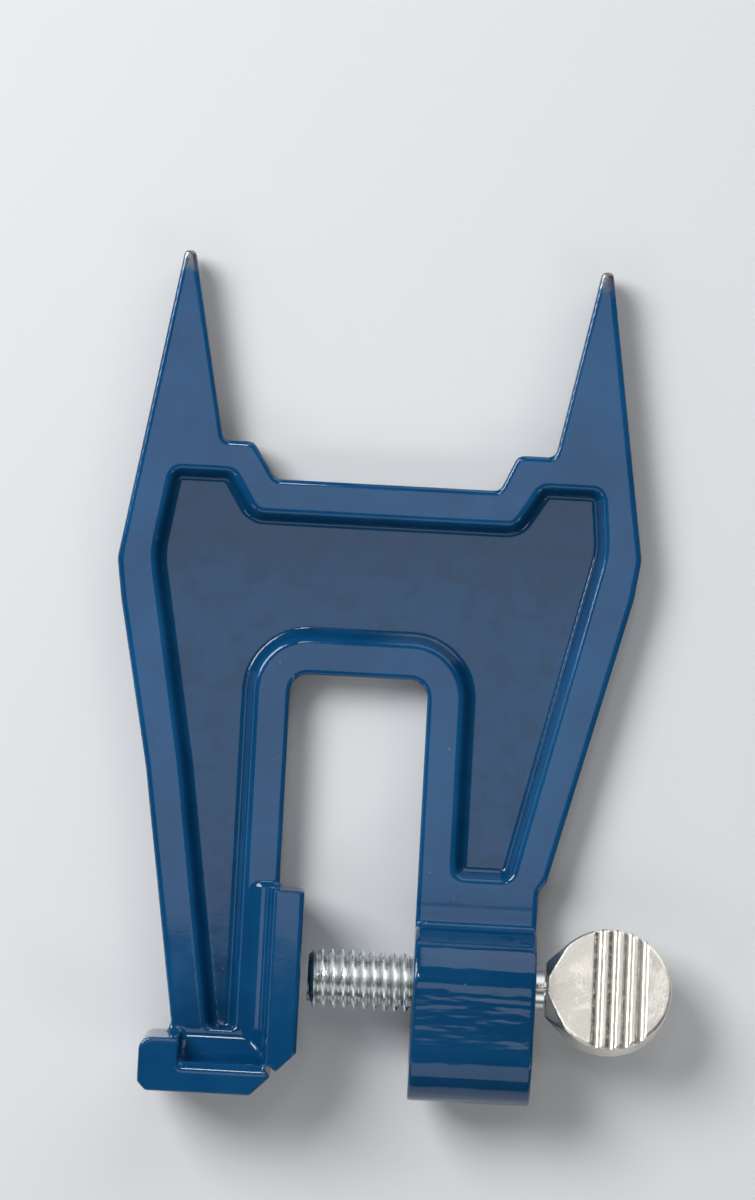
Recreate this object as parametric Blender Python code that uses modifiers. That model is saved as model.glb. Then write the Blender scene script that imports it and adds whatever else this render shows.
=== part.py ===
"""Stump vise for holding a chainsaw bar while its chain is filed.

One pressed steel sheet makes the frame: two spikes, a crossbar and two legs. The left leg is folded into
a jaw and a hammer pad, the right leg is rolled into the eye that carries the clamp screw and its thumb head.
The model lies on its back, spikes toward +Y, screw along X, folds toward +Z. Lengths are in metres.
"""
import math

import bmesh
import bpy
from mathutils import Matrix, Vector

PART_NAME = "chainsaw_stump_vise"

# Sheet and its press work
SHEET = 0.00476
BEND_RADIUS = 0.0040
EDGE_ROUND = 0.0004
PANEL_DEPTH = 0.0020
PANEL_WALL_RUN = 0.0015
PANEL_RIM = 0.0053

# Spikes and crossbar, measured from the crossbar's top edge
FRAME_WIDTH = 0.0823
HIP_BELOW_BAR_LEFT = 0.0136
HIP_BELOW_BAR_RIGHT = 0.0098
HIP_ROUND = 0.0050
KNEE_IN = 0.0009
KNEE_DROP = 0.0063
KNEE_ROUND = 0.0150
SPIKE_RISE = 0.0352
TIP_SPREAD = 0.0657
TIP_WIDTH = 0.0017
TIP_ROUND = 0.0007
TIP_ASIDE = 0.0006
SPIKE_ROOT_GAP = 0.0523
SPIKE_ROOT_ASIDE = 0.0006
SHOULDER_RISE = 0.0057
SHOULDER_GAP = 0.0416
SHOULDER_ASIDE = 0.0001
BAR_NOTCH_WIDTH = 0.0353
BAR_NOTCH_ASIDE = 0.0007
NOTCH_ROUND = 0.0014
BAR_HEIGHT = 0.0304

# Slot, jaw and the rolled eye
EYE_LEFT = 0.00865
EYE_WIDTH = 0.01905
EYE_DROP = 0.0096
EYE_LAP = 0.0030
SEAM_GAP = 0.0003
SCREW_BELOW_BAR = 0.0775
JAW_OPENING = 0.0175
JAW_TOP_BELOW_BAR = 0.0638
JAW_HEIGHT = 0.0160
SLOT_STEP = 0.0041
SLOT_RADIUS = 0.0028

# Legs and hammer pad
LEG_ELBOW_OUT = 0.0350
LEG_ELBOW_BELOW_BAR = 0.0460
LEG_FOOT_OUT = 0.0287
HAUNCH_OUT = 0.0289
HAUNCH_BELOW_BAR = 0.0611
HAUNCH_STEP = 0.0016
FOLD_BELOW_BAR = 0.0871
EAR_LEFT_OUT = 0.0333
EAR_WIDTH = 0.0061
EAR_TOP_UNDER_FOLD = 0.0004
EAR_ROUND = 0.0020
EAR_HEEL_CHAMFER = 0.0014
SHARED_CORNER_CHAMFER = 0.0069
RELIEF_WIDTH = 0.0010
RELIEF_START = 0.0060
FOLD_LAP = 0.0005

# Pressed panel, where it leaves the even rim
PANEL_HIP_LIFT = 0.0010
LOBE_ASIDE = 0.0006
LOBE_RISE = 0.0013
LOBE_INNER = 0.0242
LOBE_FOOT = 0.0203
LOBE_OUTER = 0.0342
LOBE_ROUND = 0.0022
PANEL_TOP_BELOW_BAR = 0.0050
PANEL_RIGHT_END_BELOW_BAR = 0.0615
PANEL_LEFT_END_PAST_FOLD = 0.0015
PANEL_END_ROUND = 0.0021

# Clamp screw, a three-eighths inch shank with a neck and a tang for the head
SHANK_DIAMETER = 0.00936
SHANK_END_INSET = 0.0007
TIP_CHAMFER = 0.0011
JAW_GAP_AT_REST = 0.0011
BORE_CLEARANCE = 0.00032
NECK_DIAMETER = 0.0062
NECK_SHOW = 0.00175
TANG_DIAMETER = 0.0034
TANG_LENGTH = 0.0080
FIT_GAP = 0.0003

# Thumb head
HEAD_DIAMETER = 0.0194
HEAD_THICKNESS = 0.0054
HEAD_EDGE = 0.0006
HEAD_SHOULDER_WIDTH = 0.0088
HEAD_SHOULDER_STAND = 0.0002
HEAD_APEX_WIDTH = 0.0018
HEAD_FLAT_START = 0.0067
HEAD_FLAT_SPREAD = 0.0133
HEAD_TURN = math.radians(18)
GROOVE_COUNT = 4
GROOVE_PITCH = 0.0023
GROOVE_FIRST = -0.0019
GROOVE_WIDTH = 0.0015
GROOVE_FLOOR = 0.0006
GROOVE_DEPTH = 0.0005

# Facets and tool overruns
CURVE_STEP = math.radians(11.25)
TURNED_STEPS = 48
OVERRUN = 0.0020
FINEST = 0.0000001

# Levels and places that follow from the sizes above; the crossbar's top edge is at Y zero
outer_bend = BEND_RADIUS + SHEET
back = PANEL_DEPTH
front = back + SHEET
axis_height = front + BEND_RADIUS
jaw_top = back + JAW_HEIGHT
half_width = FRAME_WIDTH / 2
eye_right = EYE_LEFT + EYE_WIDTH
jaw_face = EYE_LEFT - JAW_OPENING
jaw_bend = jaw_face - outer_bend
jaw_end = -JAW_TOP_BELOW_BAR
slot_left = jaw_face - SLOT_STEP
slot_top = -BAR_HEIGHT
screw_line = -SCREW_BELOW_BAR
fold_line = -FOLD_BELOW_BAR
pad_face = fold_line - outer_bend
ear_left = -EAR_LEFT_OUT
ear_right = EAR_WIDTH - EAR_LEFT_OUT
ear_top = fold_line - EAR_TOP_UNDER_FOLD
leg_lap = screw_line - EYE_DROP / 2
shoulder_x = eye_right + NECK_SHOW
head_radius = HEAD_DIAMETER / 2
shoulder_reach = head_radius + HEAD_SHOULDER_STAND
head_centre = shoulder_x + shoulder_reach
tip_x = jaw_face + JAW_GAP_AT_REST


def start():
    """Empty the scene and make the collections for parts and cutters."""
    for thing in list(bpy.data.objects):
        bpy.data.objects.remove(thing, do_unlink=True)
    made = []
    for name in (PART_NAME, "cutters"):
        collection = bpy.data.collections.new(name)
        bpy.context.scene.collection.children.link(collection)
        made.append(collection)
    return made


def material(name, colour, roughness, metallic):
    made = bpy.data.materials.new(name)
    made.use_nodes = True
    shader = made.node_tree.nodes["Principled BSDF"]
    shader.inputs["Base Color"].default_value = (*colour, 1.0)
    shader.inputs["Roughness"].default_value = roughness
    shader.inputs["Metallic"].default_value = metallic
    return made


def turn_between(before, corner, after):
    """Heading into a corner, and the turn taken there."""
    into = math.atan2(corner[1] - before[1], corner[0] - before[0])
    out = math.atan2(after[1] - corner[1], after[0] - corner[0])
    return into, (out - into + math.pi) % math.tau - math.pi


def rounded(corners):
    """Points of a closed outline. A corner is (x, y) or (x, y, radius), and a radius becomes an arc."""
    points = []
    for i, corner in enumerate(corners):
        if len(corner) == 2:
            points.append(corner)
            continue
        x, y, radius = corner
        into, turn = turn_between(corners[i - 1], corner, corners[(i + 1) % len(corners)])
        reach = radius * math.tan(abs(turn) / 2)
        side = math.copysign(1.0, turn)
        middle_x = x - reach * math.cos(into) - side * radius * math.sin(into)
        middle_y = y - reach * math.sin(into) + side * radius * math.cos(into)
        steps = max(1, math.ceil(abs(turn) / CURVE_STEP))
        for step in range(steps + 1):
            angle = into - side * math.pi / 2 + turn * step / steps
            points.append((middle_x + radius * math.cos(angle), middle_y + radius * math.sin(angle)))
    return points


def inset(points, distance):
    """A counter-clockwise outline moved inward."""
    moved = []
    for i, (x, y) in enumerate(points):
        into, turn = turn_between(points[i - 1], (x, y), points[(i + 1) % len(points)])
        reach = distance / math.cos(turn / 2)
        heading = into + turn / 2
        moved.append((x - reach * math.sin(heading), y + reach * math.cos(heading)))
    return moved


def settle(work, mesh):
    """Weld, face outward and round off the last digits, so that faces in one plane stay in one plane."""
    for vertex in work.verts:
        vertex.co = [round(value / FINEST) * FINEST for value in vertex.co]
    bmesh.ops.remove_doubles(work, verts=work.verts, dist=FINEST)
    bmesh.ops.recalc_face_normals(work, faces=work.faces)
    work.to_mesh(mesh)
    work.free()
    return mesh


def plate(name, outline, start, end, edge=0.0, facing="XY"):
    """A flat outline given thickness from start to end, with rounded edges, lying in the plane named facing."""
    curve = bpy.data.curves.new(name, "CURVE")
    curve.dimensions = "2D"
    curve.fill_mode = "BOTH"
    spline = curve.splines.new("POLY")
    spline.points.add(len(outline) - 1)
    for point, (x, y) in zip(spline.points, outline):
        point.co = (x, y, 0.0, 1.0)
    spline.use_cyclic_u = True
    curve.extrude = (end - start) / 2 - edge
    curve.bevel_depth = edge
    curve.bevel_resolution = 1
    curve.offset = -edge
    shape = bpy.data.objects.new(name, curve)
    bpy.context.scene.collection.objects.link(shape)
    depsgraph = bpy.context.evaluated_depsgraph_get()
    mesh = bpy.data.meshes.new_from_object(shape.evaluated_get(depsgraph))
    bpy.data.objects.remove(shape, do_unlink=True)

    middle = (start + end) / 2
    placing = {
        "XY": Matrix(((1, 0, 0, 0), (0, 1, 0, 0), (0, 0, 1, middle), (0, 0, 0, 1))),
        "YZ": Matrix(((0, 0, 1, middle), (1, 0, 0, 0), (0, 1, 0, 0), (0, 0, 0, 1))),
        "XZ": Matrix(((1, 0, 0, 0), (0, 0, -1, middle), (0, 1, 0, 0), (0, 0, 0, 1))),
    }
    work = bmesh.new()
    work.from_mesh(mesh)
    bmesh.ops.transform(work, matrix=placing[facing], verts=work.verts)
    return settle(work, mesh)


def tapered(name, low, high, low_level, high_level):
    """A loft between two counter-clockwise outlines of as many points, one at each level."""
    work = bmesh.new()
    bottom = [work.verts.new((x, y, low_level)) for x, y in low]
    top = [work.verts.new((x, y, high_level)) for x, y in high]
    work.faces.new(bottom)
    work.faces.new(top)
    for i in range(len(bottom)):
        work.faces.new((bottom[i - 1], bottom[i], top[i], top[i - 1]))
    return settle(work, bpy.data.meshes.new(name))


def rod(name, diameter, start, end):
    """A plain cylinder along X, round the X axis."""
    work = bmesh.new()
    along = Matrix.Translation(((start + end) / 2, 0, 0)) @ Matrix.Rotation(math.pi / 2, 4, "Y")
    bmesh.ops.create_cone(
        work,
        cap_ends=True,
        segments=TURNED_STEPS,
        radius1=diameter / 2,
        radius2=diameter / 2,
        depth=end - start,
        matrix=along,
    )
    mesh = bpy.data.meshes.new(name)
    work.to_mesh(mesh)
    work.free()
    return mesh


def place(name, mesh, collection, location, finish=None):
    thing = bpy.data.objects.new(name, mesh)
    collection.objects.link(thing)
    thing.location = location
    if finish:
        mesh.materials.append(finish)
        mesh.shade_smooth()
        mesh.set_sharp_from_angle(angle=math.radians(30))
    return thing


def change(target, operation, tool):
    """Join or cut with another object, which stays as a hidden wire cutter."""
    tool.hide_render = True
    tool.display_type = "WIRE"
    step = target.modifiers.new(tool.name, "BOOLEAN")
    step.operation = operation
    step.solver = "EXACT"
    step.object = tool


def mirrored(corners):
    """Corners of the left half, in running order, from those of the right half."""
    return [(-corner[0], *corner[1:]) for corner in reversed(corners)]


def crown_corners(side, hip):
    """One side of the plate from leg to crossbar, as on the right. Its offset from the middle depends on side."""
    return [
        (half_width - KNEE_IN, -hip - KNEE_DROP, KNEE_ROUND),
        (half_width, -hip, HIP_ROUND),
        (TIP_SPREAD / 2 + TIP_WIDTH / 2 + side * TIP_ASIDE, SPIKE_RISE, TIP_ROUND),
        (TIP_SPREAD / 2 - TIP_WIDTH / 2 + side * TIP_ASIDE, SPIKE_RISE, TIP_ROUND),
        (SPIKE_ROOT_GAP / 2 + side * SPIKE_ROOT_ASIDE, SHOULDER_RISE, NOTCH_ROUND),
        (SHOULDER_GAP / 2 + side * SHOULDER_ASIDE, SHOULDER_RISE, NOTCH_ROUND),
        (BAR_NOTCH_WIDTH / 2 + side * BAR_NOTCH_ASIDE, 0.0, NOTCH_ROUND),
    ]


def frame_corners():
    """The flat plate's corners, counter-clockwise from the foot of the right leg."""
    return [
        (eye_right, leg_lap),
        (eye_right, -HAUNCH_BELOW_BAR - HAUNCH_STEP, HAUNCH_STEP),
        (HAUNCH_OUT, -HAUNCH_BELOW_BAR, HAUNCH_STEP),
        *crown_corners(1, HIP_BELOW_BAR_RIGHT),
        *mirrored(crown_corners(-1, HIP_BELOW_BAR_LEFT)),
        (-LEG_ELBOW_OUT, -LEG_ELBOW_BELOW_BAR),
        (-LEG_FOOT_OUT, fold_line),
        (jaw_bend, fold_line),
        (jaw_bend, jaw_end - FOLD_LAP),
        (slot_left, jaw_end - FOLD_LAP),
        (slot_left, slot_top, SLOT_RADIUS),
        (EYE_LEFT, slot_top, SLOT_RADIUS),
        (EYE_LEFT, leg_lap),
    ]


def lobe_corners(side, hip):
    """One side of the panel from leg to crossbar, as on the right, with its lobe under the spike."""
    return [
        (half_width - PANEL_RIM, PANEL_HIP_LIFT - hip, KNEE_ROUND),
        (LOBE_OUTER + side * LOBE_ASIDE, LOBE_RISE, LOBE_ROUND),
        (LOBE_INNER + side * LOBE_ASIDE, LOBE_RISE, LOBE_ROUND),
        (LOBE_FOOT + side * LOBE_ASIDE, -PANEL_TOP_BELOW_BAR, LOBE_ROUND),
    ]


def panel_corners():
    """The pressed panel's corners: the frame's shape inside an even rim, with a lobe under each spike."""
    arch = SLOT_RADIUS + PANEL_RIM
    arch_top = slot_top + PANEL_RIM
    left_wall = slot_left - PANEL_RIM
    right_wall = EYE_LEFT + PANEL_RIM
    left_end = fold_line - PANEL_LEFT_END_PAST_FOLD
    right_end = -PANEL_RIGHT_END_BELOW_BAR
    return [
        (right_wall, right_end, PANEL_END_ROUND),
        (HAUNCH_OUT - PANEL_RIM, right_end, PANEL_END_ROUND),
        *lobe_corners(1, HIP_BELOW_BAR_RIGHT),
        *mirrored(lobe_corners(-1, HIP_BELOW_BAR_LEFT)),
        (PANEL_RIM - LEG_ELBOW_OUT, -LEG_ELBOW_BELOW_BAR),
        (PANEL_RIM - LEG_FOOT_OUT, left_end, PANEL_END_ROUND),
        (left_wall, left_end, PANEL_END_ROUND),
        (left_wall, arch_top, arch),
        (right_wall, arch_top, arch),
    ]


def fold_outside(start, face):
    """Section of all that a fold holds, from start along the sheet's back to face and up to the cut edge."""
    return [(start, back), (face, back, outer_bend), (face, jaw_top, EDGE_ROUND), (start, jaw_top)]


def fold_inside(start, face):
    """Section of the room in the bend, which leaves one sheet's thickness all along the fold."""
    inner = face - math.copysign(SHEET, face - start)
    top = jaw_top + OVERRUN
    return [(start, front), (inner, front, BEND_RADIUS), (inner, top), (start, top)]


def eye_corners():
    """Section of the rolled eye: down the leg, round the bottom, up the front and over the screw to the leg."""
    top = screw_line + outer_bend
    low = screw_line - EYE_DROP
    crest = front + 2 * BEND_RADIUS
    return [
        (top + EYE_LAP, back),
        (low - outer_bend, back, outer_bend),
        (low - outer_bend, crest + SHEET, outer_bend),
        (top, crest + SHEET, outer_bend),
        (top, front + SEAM_GAP),
        (top - SHEET, front + SEAM_GAP),
        (top - SHEET, crest, BEND_RADIUS),
        (low - BEND_RADIUS, crest, BEND_RADIUS),
        (low - BEND_RADIUS, front, BEND_RADIUS),
        (top + EYE_LAP, front),
    ]


def folds_plan():
    """What the jaw, the pad and its ear cover, seen from the front, with the slit in their shared corner."""
    corner = Vector((jaw_bend, fold_line))
    out = Vector((1, -1)).normalized()
    aside = Vector((1, 1)).normalized() * RELIEF_WIDTH / 2
    relief = corner + out * RELIEF_START
    end = corner + out * (outer_bend - SHARED_CORNER_CHAMFER / 2) * math.sqrt(2)
    slit = [tuple(point) for point in (end - aside, relief - aside, relief + aside, end + aside)]
    return [
        (jaw_bend - FOLD_LAP, jaw_end),
        (jaw_bend - FOLD_LAP, fold_line + FOLD_LAP),
        (-LEG_FOOT_OUT - FOLD_LAP, fold_line + FOLD_LAP),
        (-LEG_FOOT_OUT - FOLD_LAP, ear_top),
        (ear_left, ear_top, EAR_ROUND),
        (ear_left, pad_face + EAR_HEEL_CHAMFER),
        (ear_left + EAR_HEEL_CHAMFER + OVERRUN, pad_face - OVERRUN),
        (jaw_face - SHARED_CORNER_CHAMFER - OVERRUN, pad_face - OVERRUN),
        *slit,
        (jaw_face + OVERRUN, pad_face + SHARED_CORNER_CHAMFER + OVERRUN),
        (jaw_face + OVERRUN, jaw_end),
    ]


def make_folds(tools, location):
    """Jaw, pad and ear in one piece: two folds crossed, the room inside both taken out, trimmed to the plan."""
    far_left, far_up = ear_left - OVERRUN, jaw_end + OVERRUN
    beyond = OVERRUN * 2

    def tool(name, outline, start, end, facing="XY"):
        return place(name, plate(name, rounded(outline), start, end, facing=facing), tools, location)

    across = (pad_face - beyond, far_up + beyond)
    along = (far_left - beyond, jaw_face + beyond)
    folds = tool("folds", fold_outside(far_left, jaw_face), *across, "XZ")
    change(folds, "INTERSECT", tool("pad_outside", fold_outside(far_up, pad_face), *along, "YZ"))
    room = tool("room", fold_inside(far_left - beyond, jaw_face), *across, "XZ")
    change(room, "INTERSECT", tool("pad_inside", fold_inside(far_up + beyond, pad_face), *along, "YZ"))
    beside_ear = [
        (ear_right, pad_face - beyond),
        (jaw_face + beyond, pad_face - beyond),
        (jaw_face + beyond, far_up + beyond),
        (far_left - beyond, far_up + beyond),
        (far_left - beyond, ear_top),
        (ear_right, ear_top),
    ]
    change(room, "INTERSECT", tool("beside_ear", beside_ear, back, jaw_top + beyond))
    change(folds, "DIFFERENCE", room)
    change(folds, "INTERSECT", tool("folds_plan", folds_plan(), -OVERRUN, jaw_top + OVERRUN))
    return folds


def make_frame(parts, tools, finish, location):
    """The sheet: flat plate, pressed panel, folded jaw and pad, and rolled eye."""
    flat = plate("flat", rounded(frame_corners()), back, front, EDGE_ROUND)
    frame = place("vise_frame", flat, parts, location, finish)

    panel = rounded(panel_corners())
    slope = PANEL_WALL_RUN / PANEL_DEPTH
    floor = inset(panel, PANEL_WALL_RUN)
    inside = (back + front) / 2
    bulge = tapered("panel_back", floor, inset(panel, slope * (back - inside)), 0.0, inside)
    pocket = tapered("panel_front", floor, inset(panel, -slope * OVERRUN), SHEET, front + OVERRUN)
    change(frame, "UNION", place("panel_back", bulge, tools, location))
    change(frame, "DIFFERENCE", place("panel_front", pocket, tools, location))

    eye = plate("eye", rounded(eye_corners()), EYE_LEFT, eye_right, EDGE_ROUND, "YZ")
    change(frame, "UNION", make_folds(tools, location))
    change(frame, "UNION", place("eye", eye, tools, location))

    bore = rod("bore", SHANK_DIAMETER + 2 * BORE_CLEARANCE, EYE_LEFT - OVERRUN, eye_right + OVERRUN)
    on_axis = location + Vector((0, screw_line, axis_height))
    change(frame, "DIFFERENCE", place("bore", bore, tools, on_axis))
    return frame


def make_screw(parts, finish, location):
    """The clamp screw, turned about its own axis: tip, shank, neck and the tang inside the head."""
    shank_radius = SHANK_DIAMETER / 2
    neck_end = shoulder_x - FIT_GAP - tip_x
    shank_end = eye_right - SHANK_END_INSET - tip_x
    chamfer = shank_radius - NECK_DIAMETER / 2
    profile = [
        (0.0, neck_end + TANG_LENGTH),
        (TANG_DIAMETER / 2, neck_end + TANG_LENGTH),
        (TANG_DIAMETER / 2, neck_end),
        (NECK_DIAMETER / 2, neck_end),
        (NECK_DIAMETER / 2, shank_end),
        (shank_radius, shank_end - chamfer),
        (shank_radius, TIP_CHAMFER),
        (shank_radius - TIP_CHAMFER, 0.0),
        (0.0, 0.0),
    ]
    mesh = bpy.data.meshes.new("clamp_screw")
    points = [(radius, 0.0, along) for radius, along in profile]
    mesh.from_pydata(points, [(i, i + 1) for i in range(len(points) - 1)], [])
    screw = place("clamp_screw", mesh, parts, location + Vector((tip_x, screw_line, axis_height)), finish)
    screw.rotation_euler = (0.0, math.pi / 2, 0.0)
    turning = screw.modifiers.new("turned", "SCREW")
    turning.axis = "Z"
    turning.steps = TURNED_STEPS
    turning.render_steps = TURNED_STEPS
    turning.use_merge_vertices = True
    turning.merge_threshold = 0.00001
    turning.use_smooth_shade = True
    return screw


def head_outline():
    """A disc whose side toward the neck is squared off into a flat shoulder."""
    corner = Vector((-shoulder_reach, HEAD_SHOULDER_WIDTH / 2))
    touch = math.atan2(corner.y, corner.x) - math.acos(head_radius / corner.length)
    steps = 2 * math.ceil(touch / CURVE_STEP)
    arc = [touch * (2 * step / steps - 1) for step in range(steps + 1)]
    disc = [(head_radius * math.cos(angle), head_radius * math.sin(angle)) for angle in arc]
    return [*disc, (corner.x, corner.y), (corner.x, -corner.y)]


def with_flats(disc):
    """The disc with four slanted flats, which meet along its middle and narrow each face toward the neck."""
    work = bmesh.new()
    work.from_mesh(disc)
    for up in (1, -1):
        for side in (1, -1):
            level = up * HEAD_THICKNESS / 2
            apex = Vector((-shoulder_reach, side * HEAD_APEX_WIDTH / 2, level))
            rim = Vector((-HEAD_FLAT_START, side * HEAD_FLAT_SPREAD / 2, level))
            corner = Vector((-shoulder_reach, side * HEAD_SHOULDER_WIDTH / 2, 0.0))
            outward = (rim - apex).cross(corner - apex) * up * side
            everything = [*work.verts, *work.edges, *work.faces]
            cut = bmesh.ops.bisect_plane(work, geom=everything, plane_co=apex, plane_no=outward, clear_outer=True)
            rims = [item for item in cut["geom_cut"] if isinstance(item, bmesh.types.BMEdge)]
            bmesh.ops.contextual_create(work, geom=rims)
    bmesh.ops.recalc_face_normals(work, faces=work.faces)
    work.to_mesh(disc)
    work.free()
    return disc


def groove_corners():
    """A comb whose teeth cut the grip grooves into the head's face, seen along the grooves."""
    face = HEAD_THICKNESS / 2
    flare = (GROOVE_WIDTH - GROOVE_FLOOR) / 2
    comb = []
    for i in range(GROOVE_COUNT):
        along = GROOVE_FIRST + i * GROOVE_PITCH
        for side in (-1, 1):
            mouth = (along + side * (GROOVE_WIDTH + flare) / 2, face + GROOVE_DEPTH / 2)
            floor = (along + side * GROOVE_FLOOR / 2, face - GROOVE_DEPTH)
            comb += [mouth, floor] if side < 0 else [floor, mouth]
    return [*comb, (head_radius, face + OVERRUN), (-head_radius, face + OVERRUN)]


def make_head(parts, tools, finish, location):
    """The thumb head: a grooved disc with a blind bore for the screw's tang."""
    on_axis = location + Vector((head_centre, screw_line, axis_height))
    disc = plate("disc", head_outline(), -HEAD_THICKNESS / 2, HEAD_THICKNESS / 2, HEAD_EDGE)
    head = place("thumb_head", with_flats(disc), parts, on_axis, finish)
    depth = TANG_LENGTH + FIT_GAP
    bore = rod("tang_bore", TANG_DIAMETER + 2 * FIT_GAP, -shoulder_reach - OVERRUN, depth - shoulder_reach)
    tang_bore = place("tang_bore", bore, tools, on_axis)
    comb = plate("grooves", groove_corners(), -head_radius - OVERRUN, head_radius + OVERRUN, facing="XZ")
    grooves = [place(name, comb, tools, on_axis) for name in ("front_grooves", "back_grooves")]
    for thing in (head, tang_bore, *grooves):
        thing.rotation_euler = (-HEAD_TURN, 0.0, 0.0)
    grooves[1].rotation_euler.x += math.pi
    for tool in (tang_bore, *grooves):
        change(head, "DIFFERENCE", tool)
    return head


def origin():
    """Where the part's own origin is on the drawing: under the middle of its box."""
    outline = rounded(frame_corners())
    lowest = min(pad_face, screw_line - EYE_DROP - outer_bend)
    left = min(x for x, y in outline)
    top = max(y for x, y in outline)
    return Vector(((left + head_centre + head_radius) / 2, (lowest + top) / 2, 0.0))


def main():
    parts, tools = start()
    paint = material("blue_gloss_paint", (0.02, 0.09, 0.22), 0.25, 0.0)
    zinc = material("bright_zinc", (0.70, 0.71, 0.72), 0.28, 1.0)
    casting = material("plated_casting", (0.66, 0.64, 0.59), 0.35, 1.0)
    location = -origin()
    make_frame(parts, tools, paint, location)
    make_screw(parts, zinc, location)
    make_head(parts, tools, casting, location)
    bpy.context.view_layer.update()


main()
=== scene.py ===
import math

import bmesh
import bpy
from mathutils import Matrix, Vector


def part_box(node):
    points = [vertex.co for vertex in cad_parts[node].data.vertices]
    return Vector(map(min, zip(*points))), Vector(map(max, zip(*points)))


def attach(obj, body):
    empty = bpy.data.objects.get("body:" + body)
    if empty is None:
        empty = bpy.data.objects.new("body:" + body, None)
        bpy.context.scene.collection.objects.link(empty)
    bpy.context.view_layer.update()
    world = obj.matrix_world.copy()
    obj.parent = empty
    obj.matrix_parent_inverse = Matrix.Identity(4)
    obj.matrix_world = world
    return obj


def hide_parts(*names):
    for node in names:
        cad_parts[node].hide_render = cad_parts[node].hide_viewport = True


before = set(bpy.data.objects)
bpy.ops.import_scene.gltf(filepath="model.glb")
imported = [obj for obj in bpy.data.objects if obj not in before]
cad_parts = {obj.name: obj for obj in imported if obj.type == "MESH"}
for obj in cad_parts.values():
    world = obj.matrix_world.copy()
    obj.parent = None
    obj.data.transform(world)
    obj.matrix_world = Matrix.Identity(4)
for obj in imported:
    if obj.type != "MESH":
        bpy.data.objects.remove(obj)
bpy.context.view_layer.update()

# Stump vise for filing a chainsaw's chain. The pieces' dictionaries are in millimetres, and those of the
# finishes and lamps in metres, but for the heights of waves and ripples. The frame is drawn round a zero
# of its own, which drawingZero moves to its place.
mm = 0.001
drawingZero = Vector((-3.9794, 30.33, 0)) * mm
screwLow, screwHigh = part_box("clamp_screw")
headLow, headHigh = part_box("thumb_head")
screwAxis = (screwLow + screwHigh) / 2
arcStep = 4  # degrees


# Shared modelling steps
def onlySelect(piece):
    if bpy.context.object and bpy.context.object.mode != "OBJECT":
        bpy.ops.object.mode_set(mode="OBJECT")
    bpy.ops.object.select_all(action="DESELECT")
    if piece:
        piece.select_set(True)
        bpy.context.view_layer.objects.active = piece
    return piece


def editMode(piece, mode="VERT"):
    onlySelect(piece)
    bpy.ops.object.mode_set(mode="EDIT")
    bpy.ops.mesh.select_mode(type=mode)
    bpy.ops.mesh.select_all(action="DESELECT")
    return bmesh.from_edit_mesh(piece.data)


def selectWhere(piece, kind, test):
    work = bmesh.from_edit_mesh(piece.data)
    items = {"verts": work.verts, "edges": work.edges, "faces": work.faces}[kind]
    for item in items:
        item.select_set(bool(test(item)))
    work.select_flush_mode()
    bmesh.update_edit_mesh(piece.data)


def faceOut(piece):
    editMode(piece)
    bpy.ops.mesh.select_all(action="SELECT")
    bpy.ops.mesh.normals_make_consistent(inside=False)
    return onlySelect(piece)


def applyModifier(piece, kind, **settings):
    onlySelect(piece)
    step = piece.modifiers.new(kind.title(), kind)
    for key, value in settings.items():
        setattr(step, key, value)
    bpy.ops.object.modifier_apply(modifier=step.name)
    return piece


def combine(piece, tool, operation="DIFFERENCE"):
    applyModifier(piece, "BOOLEAN", operation=operation, solver="EXACT", object=tool)
    bpy.data.objects.remove(tool, do_unlink=True)
    return piece


def joined(pieces, name):
    onlySelect(pieces[0])
    for piece in pieces[1:]:
        piece.select_set(True)
    bpy.ops.object.join()
    pieces[0].name = name
    return pieces[0]


def settle(piece, name, material):
    # place goes into the mesh, so that patterns stay put
    onlySelect(piece)
    bpy.ops.object.transform_apply(location=True, rotation=True, scale=True)
    piece.name = name
    piece.data.name = name
    piece.data.materials.clear()
    piece.data.materials.append(material)
    return piece


def onPlane(plane, across, up, level):
    spots = {"XY": (across, up, level), "XZ": (across, level, up), "YZ": (level, across, up)}
    return Vector(spots[plane]) * mm


def withArcs(corners):
    # a corner's third number is the radius it is rounded to
    points = []
    for i, corner in enumerate(corners):
        here = Vector(corner[:2])
        into = (here - Vector(corners[i - 1][:2])).normalized()
        out = (Vector(corners[(i + 1) % len(corners)][:2]) - here).normalized()
        turn = math.atan2(into.cross(out), into.dot(out))
        if len(corner) < 3:
            points.append(here)
            continue
        middle = here - into * corner[2] * math.tan(abs(turn) / 2)
        middle += Vector((-into.y, into.x)) * math.copysign(corner[2], turn)
        spoke = here - into * corner[2] * math.tan(abs(turn) / 2) - middle
        steps = max(2, math.ceil(math.degrees(abs(turn)) / arcStep))
        points += [middle + Matrix.Rotation(turn * k / steps, 2) @ spoke for k in range(steps + 1)]
    return points


def traced(name, corners, plane, level):
    # one vertex is extruded round the corners, and the ring is filled
    spots = [onPlane(plane, *point, level) for point in withArcs(corners)]
    onlySelect(None)
    bpy.ops.mesh.primitive_plane_add(size=mm, location=spots[0])
    piece = bpy.context.object
    piece.name = name
    onlySelect(piece)
    bpy.ops.object.transform_apply(location=True, rotation=False, scale=False)
    editMode(piece)
    bpy.ops.mesh.select_all(action="SELECT")
    bpy.ops.mesh.merge(type="CENTER")
    for here, there in zip(spots, spots[1:]):
        bpy.ops.mesh.extrude_vertices_move(TRANSFORM_OT_translate={"value": there - here})
    bpy.ops.mesh.select_all(action="SELECT")
    bpy.ops.mesh.edge_face_add()
    return onlySelect(piece)


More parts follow.
